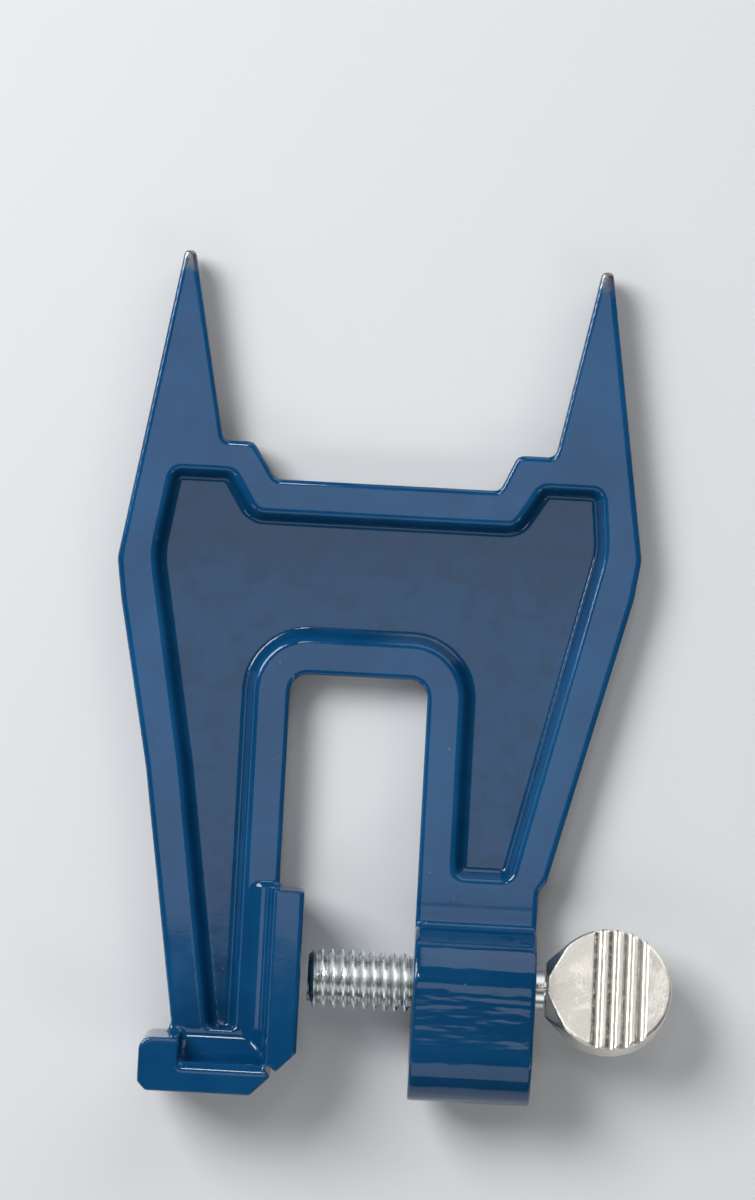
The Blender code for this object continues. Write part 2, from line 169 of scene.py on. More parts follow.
def extruded(name, corners, plane, start, end):
    piece = traced(name, corners, plane, start)
    editMode(piece)
    bpy.ops.mesh.select_all(action="SELECT")
    along = onPlane(plane, 0, 0, end - start)
    bpy.ops.mesh.extrude_region_move(TRANSFORM_OT_translate={"value": along})
    faceOut(piece)
    for vertex in piece.data.vertices:
        vertex.co = [round(value, 7) for value in vertex.co]  # so that flat faces are truly flat
    return piece


def roundRims(piece, axis, width):
    # bevels the edges round the faces that look along an axis
    editMode(piece, "FACE")
    selectWhere(piece, "faces", lambda f: abs(f.normal.dot(axis)) > 0.999)
    bpy.ops.mesh.region_to_loop()
    bpy.ops.mesh.bevel(offset=width * mm, segments=3, affect="EDGES", clamp_overlap=False)
    return onlySelect(piece)


def turned(name, profile, steps):
    # a profile of (along, radius) spun round the X axis through the origin
    piece = traced(name, profile, "XZ", 0)
    editMode(piece)
    bpy.ops.mesh.select_all(action="SELECT")
    bpy.ops.mesh.delete(type="ONLY_FACE")
    selectWhere(piece, "edges", lambda e: all(abs(v.co.z) < 1e-7 for v in e.verts))
    bpy.ops.mesh.delete(type="EDGE")
    bpy.ops.mesh.select_all(action="SELECT")
    bpy.ops.mesh.spin(steps=steps, angle=math.tau, center=(0, 0, 0), axis=(1, 0, 0))
    bpy.ops.mesh.select_all(action="SELECT")
    bpy.ops.mesh.remove_doubles(threshold=0.0005 * mm)
    return faceOut(piece)


# The frame is one pressed and folded sheet. Its sizes are drawn from the middle of the crossbar's top edge.
sheetForm = {
    # sheet and pressed panel
    "thick": 4.76, "bend": 4.0, "back": 2.0, "pressDepth": 2.0, "pressRun": 1.9, "pressSteps": 8, "rim": 5.3,
    # outline, from the hips down to the legs
    "wide": 82.3, "hipDown": {"left": 13.6, "right": 9.8}, "hipRound": 5, "knee": (0.9, 6.3), "kneeRound": 15,
    "elbow": (35.0, 46.0), "elbowRound": 12, "foot": 28.7, "legStep": (28.9, 61.1, 62.7), "legStepRound": 1.6,
    # spikes and crossbar
    "spikeRise": 35.2, "tipSpread": 65.7, "tipWide": 1.7, "tipRound": 0.7, "spikeRoot": 52.3, "shoulder": 41.6,
    "shoulderRise": 5.7, "notch": 35.3, "crownRound": 1.4, "barHigh": 30.4,
    "aside": {"tip": 0.6, "root": 0.6, "shoulder": 0.1, "notch": 0.7},
    # the panel's lobes and ends
    "lobe": [(34.2, 1.3), (24.2, 1.3), (20.3, -5.0)], "lobeAside": 0.6, "lobeRound": 2.2, "panelHipUp": 1,
    "panelDown": 61.5, "panelRound": 2.1, "pastFold": 1.5,
    # slot, jaw, pad and ear
    "opening": 17.5, "slotStep": 4.1, "slotRound": 2.8, "jawTopDown": 63.8, "jawHigh": 16.0, "foldRound": 0.45,
    "foldDown": 87.1, "ear": (-33.3, -27.2), "earDown": 0.4, "earRound": 2.0, "heelCut": 1.4, "lap": 0.5,
    "cornerCut": 6.9, "slit": 1.0, "slitStart": 6.0,
    "padEased": {"across": 1.0, "down": 0.5, "round": 2.0, "foot": 0.3},
    # eye
    "eyeLeft": 8.65, "eyeWide": 19.05, "eyeDrop": 9.6, "screwDown": 77.5, "bore": 5.0, "boreSteps": 72,
    "eyeLap": 3, "seamGap": 0.3,
    # the coat that rounds it all
    "edge": 0.3, "voxel": 0.3, "softening": 4, "kept": 0.42,
}


def mirrored(corners):
    return [(-c[0], *c[1:]) for c in reversed(corners)]


def crownCorners(s, side, hip):
    # from the leg over the spike and in to the crossbar, drawn as on the right
    off = {part: side * much for part, much in s["aside"].items()}
    tip, halfTip = s["tipSpread"] / 2 + off["tip"], s["tipWide"] / 2
    return [
        (s["wide"] / 2 - s["knee"][0], -hip - s["knee"][1], s["kneeRound"]),
        (s["wide"] / 2, -hip, s["hipRound"]),
        (tip + halfTip, s["spikeRise"], s["tipRound"]),
        (tip - halfTip, s["spikeRise"], s["tipRound"]),
        (s["spikeRoot"] / 2 + off["root"], s["shoulderRise"], s["crownRound"]),
        (s["shoulder"] / 2 + off["shoulder"], s["shoulderRise"], s["crownRound"]),
        (s["notch"] / 2 + off["notch"], 0, s["crownRound"]),
    ]


def plateCorners(s):
    fold, bendLine = -s["foldDown"], s["eyeLeft"] - s["opening"] - s["bend"] - s["thick"]
    eyeRight, legEnd = s["eyeLeft"] + s["eyeWide"], -s["screwDown"] - s["eyeDrop"] / 2
    slotLeft, jawTop = s["eyeLeft"] - s["opening"] - s["slotStep"], -s["jawTopDown"] - s["lap"]
    stepOut, stepHigh, stepLow = s["legStep"]
    return [
        (eyeRight, legEnd), (eyeRight, -stepLow, s["legStepRound"]), (stepOut, -stepHigh, s["legStepRound"]),
        *crownCorners(s, 1, s["hipDown"]["right"]), *mirrored(crownCorners(s, -1, s["hipDown"]["left"])),
        (-s["elbow"][0], -s["elbow"][1], s["elbowRound"]), (-s["foot"], fold), (bendLine, fold),
        (bendLine, jawTop), (slotLeft, jawTop), (slotLeft, -s["barHigh"], s["slotRound"]),
        (s["eyeLeft"], -s["barHigh"], s["slotRound"]), (s["eyeLeft"], legEnd),
    ]


def lobeCorners(s, side, hip):
    lobe = [(out + side * s["lobeAside"], up, s["lobeRound"]) for out, up in s["lobe"]]
    return [(s["wide"] / 2 - s["rim"], s["panelHipUp"] - hip, s["kneeRound"]), *lobe]


def panelCorners(s):
    arch, archTop = s["slotRound"] + s["rim"], s["rim"] - s["barHigh"]
    leftWall = s["eyeLeft"] - s["opening"] - s["slotStep"] - s["rim"]
    rightWall, leftEnd = s["eyeLeft"] + s["rim"], -s["foldDown"] - s["pastFold"]
    ends = s["panelRound"]
    return [
        (rightWall, -s["panelDown"], ends), (s["legStep"][0] - s["rim"], -s["panelDown"], ends),
        *lobeCorners(s, 1, s["hipDown"]["right"]), *mirrored(lobeCorners(s, -1, s["hipDown"]["left"])),
        (s["rim"] - s["elbow"][0], -s["elbow"][1], s["elbowRound"]), (s["rim"] - s["foot"], leftEnd, ends),
        (leftWall, leftEnd, ends), (leftWall, archTop, arch), (rightWall, archTop, arch),
    ]


def pressTool(name, s, level):
    # the panel's outline, extruded down to the sheet's face and then inset step by step along a soft S
    lift = 1.5
    piece = extruded(name, panelCorners(s), "XY", level + lift, level)
    editMode(piece, "FACE")
    selectWhere(piece, "faces", lambda f: f.normal.z < -0.9)
    steps = s["pressSteps"]
    for i in range(steps):
        sunk = [(1 - math.cos(math.pi * (i + k) / steps)) / 2 for k in (0, 1)]
        bpy.ops.mesh.inset(
            thickness=s["pressRun"] / steps * mm, depth=(sunk[1] - sunk[0]) * s["pressDepth"] * mm)
    return onlySelect(piece)


def foldOutside(s, start, face):
    # section of all that a fold holds, from start along the sheet's back to its face
    top = s["back"] + s["jawHigh"]
    outer = s["bend"] + s["thick"]
    return [(start, s["back"]), (face, s["back"], outer), (face, top, s["foldRound"]), (start, top)]


def foldInside(s, start, face, eased=None):
    # section of the room inside the bend, past the fold's top, whose inner edge can be eased
    front, top = s["back"] + s["thick"], s["back"] + s["jawHigh"]
    over = top + 2
    side = math.copysign(1, face - start)
    inner = face - side * s["thick"]
    edge = [(inner, over)]
    if eased:
        near, far = inner + side * eased["across"], inner + side * eased["across"] * 3
        edge = [(inner, top - eased["down"], eased["foot"]), (near, top, eased["round"]), (far, top + 0.05),
                (far, over)]
    return [(start, front), (inner, front, s["bend"]), *edge, (start, over)]


def foldsPlan(s, bendLine, fold, jawFace, padFace):
    # what jaw, pad and ear cover from the front, with the slit in their shared corner
    corner, out, aside = Vector((bendLine, fold)), Vector((1, -1)).normalized(), Vector((1, 1)).normalized()
    aside *= s["slit"] / 2
    slitIn = corner + out * s["slitStart"]
    slitOut = corner + out * (s["bend"] + s["thick"] - s["cornerCut"] / 2) * math.sqrt(2)
    left, over, lap = s["ear"][0], 2, s["lap"]
    return [
        (bendLine - lap, -s["jawTopDown"]), (bendLine - lap, fold + lap), (-s["foot"] - lap, fold + lap),
        (-s["foot"] - lap, fold - s["earDown"]), (left, fold - s["earDown"], s["earRound"]),
        (left, padFace + s["heelCut"]), (left + s["heelCut"] + over, padFace - over),
        (jawFace - s["cornerCut"] - over, padFace - over),
        tuple(slitOut - aside), tuple(slitIn - aside), tuple(slitIn + aside), tuple(slitOut + aside),
        (jawFace + over, padFace + s["cornerCut"] + over), (jawFace + over, -s["jawTopDown"]),
    ]


def unlevelled(section, between, down=0.01, up=0.5):
    # moves a section's low corners down and its high ones up, so that no two solids have faces in one plane
    return [(across, high - down if high < between else high + up, *r) for across, high, *r in section]


def crossedFolds(s, bendLine, fold, jawFace, padFace):
    # two folds crossed in one piece, less the room inside both, so that the sheet keeps its thickness;
    # the bare numbers are how far each solid runs past the others, all different for the same reason
    farLeft, farUp, low, top = s["ear"][0] - 2, 2 - s["jawTopDown"], padFace - 4, s["back"] + s["jawHigh"]
    folds = extruded("folds", foldOutside(s, farLeft, jawFace), "XZ", low, farUp + 4)
    padOutside = unlevelled(foldOutside(s, farUp, padFace), s["back"] + 1)
    combine(folds, extruded("padOutside", padOutside, "YZ", farLeft - 4, jawFace + 4), "INTERSECT")
    room = extruded("room", foldInside(s, farLeft - 6, jawFace), "XZ", low - 1, farUp + 6)
    padInside = unlevelled(foldInside(s, farUp + 5, padFace, s["padEased"]), top + 0.1)
    combine(room, extruded("padInside", padInside, "YZ", farLeft - 5, jawFace + 5), "INTERSECT")
    earRight, earTop = s["ear"][1], fold - s["earDown"]
    besideEar = [(earRight, low), (jawFace + 4, low), (jawFace + 4, farUp + 4), (farLeft - 4, farUp + 4),
                 (farLeft - 4, earTop), (earRight, earTop)]
    combine(room, extruded("besideEar", besideEar, "XY", s["back"] + 1, top + 1), "INTERSECT")
    combine(folds, room)
    plan = extruded("plan", foldsPlan(s, bendLine, fold, jawFace, padFace), "XY", -2, top + 3)
    return combine(folds, plan, "INTERSECT")


def rolledEye(s, outer):
    front, right = s["back"] + s["thick"], s["eyeLeft"] + s["eyeWide"]
    seam, low, inside = outer - s["screwDown"], -s["screwDown"] - s["eyeDrop"], front + 2 * s["bend"]
    crest, lapped, bend = inside + s["thick"], seam + s["eyeLap"], s["bend"]
    end = front + s["seamGap"]
    roll = [(lapped, s["back"]), (low - outer, s["back"], outer), (low - outer, crest, outer),
            (seam, crest, outer), (seam, end), (seam - s["thick"], end), (seam - s["thick"], inside, bend),
            (low - bend, inside, bend), (low - bend, front, bend), (lapped, front)]
    eye = extruded("eye", roll, "YZ", s["eyeLeft"], right)
    roundRims(eye, Vector((1, 0, 0)), s["edge"])
    holeLeft, holeRight = s["eyeLeft"] - 2, right + 2
    hole = [(holeLeft, 0), (holeLeft, s["bore"]), (holeRight, s["bore"]), (holeRight, 0)]
    bore = turned("bore", hole, s["boreSteps"])
    bore.data.transform(Matrix.Translation(Vector((0, -s["screwDown"], front + s["bend"])) * mm))
    return combine(eye, bore)


def buildFrame(s):
    front, back, outer = s["back"] + s["thick"], s["back"], s["bend"] + s["thick"]
    jawFace, fold = s["eyeLeft"] - s["opening"], -s["foldDown"]
    plate = extruded("plate", plateCorners(s), "XY", back, front)
    roundRims(plate, Vector((0, 0, 1)), s["edge"])
    combine(plate, pressTool("pocket", s, front))
    bulge = pressTool("bulge", s, back)
    folds = crossedFolds(s, jawFace - outer, fold, jawFace, fold - outer)
    body = joined([plate, bulge, folds, rolledEye(s, outer)], "sheet")
    body.data.transform(Matrix.Translation(drawingZero))
    return body


def makeFrame(s, material):
    sheet = buildFrame(s)
    print("frame solids:", len(sheet.data.polygons), "faces")
    # the solids flow together under one coat, and the flat parts need fewer faces than the bends
    applyModifier(sheet, "REMESH", mode="VOXEL", voxel_size=s["voxel"] * mm, adaptivity=0)
    applyModifier(sheet, "SMOOTH", factor=0.5, iterations=s["softening"])
    applyModifier(sheet, "DECIMATE", ratio=s["kept"])
    onlySelect(sheet)
    bpy.ops.object.shade_smooth()
    print("frame coated:", len(sheet.data.polygons), "faces")
    settle(sheet, "painted_frame", material)
    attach(sheet, "frame")
    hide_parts("vise_frame")
    return sheet


# The clamp screw is turned from bar and its thread is cut to the full depth.
screwForm = {
    "pitch": 1.5875, "crest": 4.68, "depth": 0.95, "crestFlat": 0.16, "rootFlat": 0.12, "profileSteps": 16,
    "easing": 0.28, "steps": 72, "tipCut": 1.1, "neck": 3.1, "neckStep": 0.5, "neckRound": 0.4, "runOut": 1.4,
    "neckLong": 2.15, "tang": 1.7, "tangLong": 8.0, "spare": 0.05, "cutPast": 0.4, "smoothAngle": 40,
}


def threadProfile(s):
    # radius along one pitch, from root to root, with eased corners
    points = []
    for k in range(s["profileSteps"] + 1):
        share = k / s["profileSteps"]
        rise = 1 - abs(2 * share - 1)
        flank = min(1, max(0, (rise - s["rootFlat"]) / (1 - s["rootFlat"] - s["crestFlat"])))
        eased = flank * (1 - s["easing"]) + s["easing"] * (3 * flank ** 2 - 2 * flank ** 3)
        points.append((share * s["pitch"], s["crest"] - s["depth"] * (1 - eased)))
    return points


def makeScrew(s, material):
    length = (screwHigh.x - screwLow.x) / mm
    neckEnd = length - s["tangLong"]
    neckStart = neckEnd - s["neckLong"]
    turns = math.ceil(length / s["pitch"]) + 3
    profile = threadProfile(s)
    onlySelect(None)
    bpy.ops.mesh.primitive_plane_add(size=mm, location=(0, 0, 0))
    thread = bpy.context.object
    editMode(thread)
    bpy.ops.mesh.select_all(action="SELECT")
    bpy.ops.mesh.merge(type="CENTER")
    bpy.ops.transform.translate(value=Vector((profile[0][0] - 2 * s["pitch"], 0, profile[0][1])) * mm)
    for here, there in zip(profile, profile[1:]):
        step = Vector((there[0] - here[0], 0, there[1] - here[1])) * mm
        bpy.ops.mesh.extrude_vertices_move(TRANSFORM_OT_translate={"value": step})
    onlySelect(thread)
    applyModifier(
        thread, "SCREW", axis="X", steps=s["steps"], render_steps=s["steps"], iterations=turns,
        screw_offset=s["pitch"] * mm)
    editMode(thread)
    bpy.ops.mesh.select_all(action="SELECT")
    bpy.ops.mesh.remove_doubles(threshold=0.002 * mm)
    # both ends are cut square and closed
    for cutAt, outward in ((-s["cutPast"], -1), (length + s["cutPast"], 1)):
        editMode(thread)
        bpy.ops.mesh.select_all(action="SELECT")
        bpy.ops.mesh.bisect(
            plane_co=(cutAt * mm, 0, 0), plane_no=(outward, 0, 0), use_fill=True, clear_outer=True)
    faceOut(thread)

    over = s["crest"] + s["spare"]
    turnedShape = [
        (0, 0), (0, over - s["tipCut"]), (s["tipCut"], over), (neckStart - s["runOut"], over),
        (neckStart, s["neck"] + s["neckStep"], s["neckRound"]), (neckStart, s["neck"], s["neckRound"]),
        (neckEnd, s["neck"]), (neckEnd, s["tang"]), (length, s["tang"]), (length, 0),
    ]
    combine(thread, turned("screwShape", turnedShape, s["steps"]), "INTERSECT")
    thread.data.transform(Matrix.Translation((screwLow.x, screwAxis.y, screwAxis.z)))
    onlySelect(thread)
    bpy.ops.object.shade_smooth_by_angle(angle=math.radians(s["smoothAngle"]))
    settle(thread, "threaded_screw", material)
    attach(thread, "head")
    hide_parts("clamp_screw")
    print("screw:", len(thread.data.polygons), "faces")
    return thread


# The thumb head is a casting with four slanted flats toward the neck and grip grooves on both faces.
headForm = {
    "radius": 9.7, "discSteps": 96, "thick": 5.4, "shoulderOut": 9.9, "shoulderHalf": 4.4, "apexHalf": 0.9,
    "faceMeet": (-6.7, 6.65), "turn": 18, "grooves": 4, "firstGroove": -1.9, "groovePitch": 2.3,
    "grooveWide": 1.5, "grooveFloor": 0.6, "grooveDeep": 0.55, "grooveReach": 12, "voxel": 0.15, "softening": 4,
    "edge": 0.5,
}


def headCorners(s):
    corner = Vector((-s["shoulderOut"], s["shoulderHalf"]))
    touch = math.atan2(corner.y, corner.x) - math.acos(s["radius"] / corner.length)
    steps = s["discSteps"]
    angles = [touch * (2 * k / steps - 1) for k in range(steps + 1)]
    disc = [(s["radius"] * math.cos(a), s["radius"] * math.sin(a)) for a in angles]
    return [*disc, (corner.x, corner.y), (corner.x, -corner.y)]


def cutFlats(head, s, half):
    # four slanted flats toward the neck
    for up in (1, -1):
        for side in (1, -1):
            apex = Vector((-s["shoulderOut"], side * s["apexHalf"], up * half))
            meet = Vector((s["faceMeet"][0], side * s["faceMeet"][1], up * half))
            middle = Vector((-s["shoulderOut"], side * s["shoulderHalf"], 0))
            normal = (meet - apex).cross(middle - apex).normalized()
            if normal.dot(Vector((-1, side, up))) < 0:
                normal.negate()
            editMode(head)
            bpy.ops.mesh.select_all(action="SELECT")
            bpy.ops.mesh.bisect(plane_co=apex * mm, plane_no=normal, use_fill=True, clear_outer=True)
            faceOut(head)


def cutGrooves(head, s, half):
    # each cutter stands as far out of the face as it goes in, and widens at the same slant
    wide, floor, deep, reach = s["grooveWide"] / 2, s["grooveFloor"] / 2, s["grooveDeep"], s["grooveReach"]
    for up in (1, -1):
        for i in range(s["grooves"]):
            along = s["firstGroove"] + i * s["groovePitch"]
            mouth, bottom = up * (half + deep), up * (half - deep)
            section = [(along - 2 * wide + floor, mouth), (along - wide, up * half), (along - floor, bottom),
                       (along + floor, bottom), (along + wide, up * half), (along + 2 * wide - floor, mouth)]
            combine(head, extruded("groove", section, "XZ", -reach, reach))


def makeHead(s, material):
    half = s["thick"] / 2
    head = extruded("head", headCorners(s), "XY", -half, half)
    roundRims(head, Vector((0, 0, 1)), s["edge"])
    cutFlats(head, s, half)
    cutGrooves(head, s, half)
    applyModifier(head, "REMESH", mode="VOXEL", voxel_size=s["voxel"] * mm, adaptivity=0)
    applyModifier(head, "SMOOTH", factor=0.5, iterations=s["softening"])
    onlySelect(head)
    bpy.ops.object.shade_smooth()
    head.data.transform(Matrix.Rotation(math.radians(-s["turn"]), 4, "X"))
    centre = Vector((headHigh.x - s["radius"] * mm, screwAxis.y, screwAxis.z))
    head.data.transform(Matrix.Translation(centre))
    settle(head, "cast_thumb_head", material)
    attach(head, "head")
    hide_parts("thumb_head")
    print("head:", len(head.data.polygons), "faces")
    return head


# Finishes. The shared effects are node groups; each material gives them its own sizes and amounts.
def addNode(tree, kind, inputs=None, **settings):
    node = tree.nodes.new("ShaderNode" + kind)
    for key, value in settings.items():
        setattr(node, key, value)
    for key, value in (inputs or {}).items():
        if isinstance(value, bpy.types.NodeSocket):
            tree.links.new(value, node.inputs[key])
        else:
            node.inputs[key].default_value = value
    return node


def calc(tree, operation, *values, clamp=False):
    return addNode(tree, "Math", dict(enumerate(values)), operation=operation, use_clamp=clamp).outputs[0]


def ramp(tree, value, fromLow, fromHigh, toLow=0.0, toHigh=1.0):
    inputs = {"Value": value, "From Min": fromLow, "From Max": fromHigh, "To Min": toLow, "To Max": toHigh}
    return addNode(tree, "MapRange", inputs, interpolation_type="SMOOTHSTEP").outputs[0]


def blend(tree, mask, under, over, share=1.0):
    if share < 1:
        mask = calc(tree, "MULTIPLY", mask, share)
    return addNode(tree, "Mix", {0: mask, 6: under, 7: over}, data_type="RGBA").outputs[2]


def noise(tree, position, size, detail=2.0, roughness=0.5):
    # size is the width of one bump in metres
    scale = calc(tree, "DIVIDE", 1.0, size)
    inputs = {"Vector": position, "Scale": scale, "Detail": detail, "Roughness": roughness}
    return addNode(tree, "TexNoise", inputs).outputs[0]


def newGroup(name, inputs, output):
    tree = bpy.data.node_groups.new(name, "ShaderNodeTree")
    for label, default in inputs.items():
        kind = "NodeSocketVector" if default is None else "NodeSocketFloat"
        socket = tree.interface.new_socket(name=label, in_out="INPUT", socket_type=kind)
        if default is not None:
            socket.default_value = default
    tree.interface.new_socket(name=output, in_out="OUTPUT", socket_type="NodeSocketFloat")
    return tree, tree.nodes.new("NodeGroupInput").outputs, tree.nodes.new("NodeGroupOutput").inputs


def surfaceWaves():
    # fine skin such as orange peel or cast grain, on slower waves of the sheet or coat
    tree, given, result = newGroup(
        "surfaceWaves", {
            "Position": None, "Fine Size": 0.001, "Fine Depth": 0.001, "Broad Size": 0.01, "Broad Depth": 0.01,
        }, "Height")
    fine = noise(tree, given["Position"], given["Fine Size"], 3.0, 0.55)
    broad = noise(tree, given["Position"], given["Broad Size"], 1.0, 0.4)
    fineRise = calc(tree, "MULTIPLY", fine, given["Fine Depth"])
    broadRise = calc(tree, "MULTIPLY", broad, given["Broad Depth"])
    tree.links.new(calc(tree, "ADD", fineRise, broadRise), result["Height"])
    return tree


def softStains():
    tree, given, result = newGroup(
        "softStains", {"Position": None, "Size": 0.01, "Start": 0.4, "Full": 0.65}, "Mask")
    cloud = noise(tree, given["Position"], given["Size"], 4.0, 0.6)
    tree.links.new(ramp(tree, cloud, given["Start"], given["Full"]), result["Mask"])
    return tree


def dustSpecks():
    # one speck in some of the cells, of differing size
    tree, given, result = newGroup(
        "dustSpecks", {"Position": None, "Spacing": 0.002, "Speck": 0.1, "Share": 0.3}, "Mask")
    inputs = {"Vector": given["Position"], "Scale": calc(tree, "DIVIDE", 1.0, given["Spacing"])}
    cells = addNode(tree, "TexVoronoi", inputs)
    chance = addNode(tree, "SeparateColor", {0: cells.outputs["Color"]}).outputs
    reach = calc(tree, "MULTIPLY", given["Speck"], chance[1])
    dot = calc(tree, "LESS_THAN", cells.outputs["Distance"], reach)
    present = calc(tree, "LESS_THAN", chance[0], given["Share"])
    tree.links.new(calc(tree, "MULTIPLY", dot, present), result["Mask"])
    return tree


def edgeTouch():
    # the mesh's own corners, broken up so that the line isn't even
    tree, given, result = newGroup(
        "edgeTouch", {"Position": None, "Start": 0.53, "Full": 0.6, "Break Size": 0.002}, "Mask")
    corner = addNode(tree, "NewGeometry").outputs["Pointiness"]
    cloud = noise(tree, given["Position"], given["Break Size"], 3.0, 0.6)
    patchy = ramp(tree, cloud, 0.3, 0.6)
    edge = ramp(tree, corner, given["Start"], given["Full"])
    tree.links.new(calc(tree, "MULTIPLY", edge, patchy, clamp=True), result["Mask"])
    return tree


groups = {"waves": surfaceWaves(), "stains": softStains(), "specks": dustSpecks(), "edges": edgeTouch()}


def useGroup(tree, key, position, **values):
    node = addNode(tree, "Group", node_tree=groups[key])
    tree.links.new(position, node.inputs["Position"])
    for label, value in values.items():
        node.inputs[label.replace("_", " ")].default_value = value
    return node.outputs[0]


def newMaterial(name):
    made = bpy.data.materials.new(name)
    made.use_nodes = True
    tree = made.node_tree
    shader = tree.nodes["Principled BSDF"]
    position = addNode(tree, "TexCoord").outputs["Object"]
    return made, tree, shader, position


def bumped(tree, shader, height):
    # heights are in millimetres
    bump = addNode(tree, "Bump", {"Height": height, "Distance": mm, "Strength": 1.0})
    tree.links.new(bump.outputs["Normal"], shader.inputs["Normal"])


paintLook = {
    "deep": (0.0015, 0.052, 0.150, 1), "pale": (0.004, 0.074, 0.200, 1), "stainSize": 0.016,
    "thin": (0.055, 0.110, 0.180, 1), "thinShare": 0.6, "edgeBreak": 0.003,
    "dust": (0.20, 0.24, 0.28, 1), "dustShare": 0.6, "dustSpacing": 0.0021, "dustRise": 0.006, "dustDull": 0.3,
    # the pressed panel's floor, between two levels, with painted shade, darker patches and a darker upper part
    "paintedShade": (0.0010, 0.038, 0.105, 1), "recessShadeShare": 0.6, "rimLevel": 0.0066, "floorLevel": 0.0050,
    "patch": (0.0008, 0.022, 0.060, 1), "patchShare": 0.35, "patchSize": 0.0045,
    "upperShare": 0.5, "upperFrom": (0.006, 0.024),
    # painted shade on the rolled eye, above a level
    "rollLevel": (0.0072, 0.0110), "rollShade": 0.55, "rollSize": 0.0026, "rollDepth": 0.085,
    "rollStretch": 0.22,
    # the spikes' points
    "steel": (0.26, 0.26, 0.26, 1), "tipBare": (0.0618, 0.0655), "tipRagged": 0.006, "tipBreak": 0.0016,
    "tipDull": 0.25,
    "roughness": (0.05, 0.09), "peelSize": 0.0011, "peelDepth": 0.0022, "waveSize": 0.011, "waveDepth": 0.040,
    "edgeSize": 0.0007, "edgeDepth": 0.03,
}


def glossPaint(s):
    made, tree, shader, position = newMaterial("blueGlossPaint")
    place = addNode(tree, "SeparateXYZ", {0: position}).outputs
    stains = useGroup(tree, "stains", position, Size=s["stainSize"], Start=0.35, Full=0.70)
    edges = useGroup(tree, "edges", position, Start=0.53, Full=0.62, Break_Size=s["edgeBreak"])
    specks = useGroup(tree, "specks", position, Spacing=s["dustSpacing"], Speck=0.085, Share=0.16)
    coat = blend(tree, stains, s["deep"], s["pale"])
    coat = blend(tree, edges, coat, s["thin"], s["thinShare"])
    coat = blend(tree, specks, coat, s["dust"], s["dustShare"])
    # painted shade: the pressed panel's floor is darkened
    sunk = ramp(tree, place[2], s["rimLevel"], s["floorLevel"])
    coat = blend(tree, sunk, coat, s["paintedShade"], s["recessShadeShare"])
    patches = useGroup(tree, "stains", position, Size=s["patchSize"], Start=0.46, Full=0.62)
    coat = blend(tree, calc(tree, "MULTIPLY", sunk, patches), coat, s["patch"], s["patchShare"])
    upper = calc(tree, "MULTIPLY", sunk, ramp(tree, place[1], *s["upperFrom"]))
    coat = blend(tree, upper, coat, s["patch"], s["upperShare"])
    # painted shade: the rolled eye is darkened above a level
    onRight = calc(tree, "GREATER_THAN", place[0], 0)
    rolled = calc(tree, "MULTIPLY", onRight, ramp(tree, place[2], *s["rollLevel"]))
    coat = blend(tree, rolled, coat, s["paintedShade"], s["rollShade"])
    # the points of the spikes have lost theirs
    cloud = noise(tree, position, s["tipBreak"], 4.0, 0.6)
    ragged = calc(tree, "MULTIPLY_ADD", cloud, s["tipRagged"], -s["tipRagged"] / 2)
    bare = ramp(tree, calc(tree, "ADD", place[1], ragged), *s["tipBare"])
    tree.links.new(blend(tree, bare, coat, s["steel"]), shader.inputs["Base Color"])
    tree.links.new(bare, shader.inputs["Metallic"])
    dull = calc(tree, "MULTIPLY_ADD", specks, s["dustDull"], ramp(tree, stains, 0.0, 1.0, *s["roughness"]))
    tree.links.new(calc(tree, "MULTIPLY_ADD", bare, s["tipDull"], dull), shader.inputs["Roughness"])
    waves = useGroup(
        tree, "waves", position, Fine_Size=s["peelSize"], Fine_Depth=s["peelDepth"], Broad_Size=s["waveSize"],
        Broad_Depth=s["waveDepth"])
    # the rolled eye is drawn out in waves along its width, and thick paint stands unevenly on the edges
    along = addNode(tree, "Mapping", {"Vector": position, "Scale": (s["rollStretch"], 1, 1)}).outputs[0]
    ripple = calc(tree, "MULTIPLY", noise(tree, along, s["rollSize"]), s["rollDepth"])
    waves = calc(tree, "MULTIPLY_ADD", rolled, ripple, waves)
    chatter = calc(tree, "MULTIPLY", noise(tree, position, s["edgeSize"]), s["edgeDepth"])
    waves = calc(tree, "MULTIPLY_ADD", edges, chatter, waves)
    bumped(tree, shader, calc(tree, "MULTIPLY_ADD", specks, s["dustRise"], waves))
    return made


zincLook = {
    "crest": (0.96, 0.98, 0.98, 1), "grey": (0.84, 0.87, 0.87, 1), "greyShare": 0.6, "stainSize": 0.004,
    "root": (0.60, 0.64, 0.64, 1), "rootAt": 0.00385, "crestAt": 0.00455, "threadEnd": 0.0226,
    "shadeAndGrime": (0.16, 0.17, 0.15, 1), "tipCut": 0.0011, "tipShare": 0.6, "speckShare": 0.5,
    "speckSpacing": 0.0010,
    "roughness": (0.26, 0.38), "fineSize": 0.0004, "fineDepth": 0.010, "waveSize": 0.003, "waveDepth": 0.020,
}


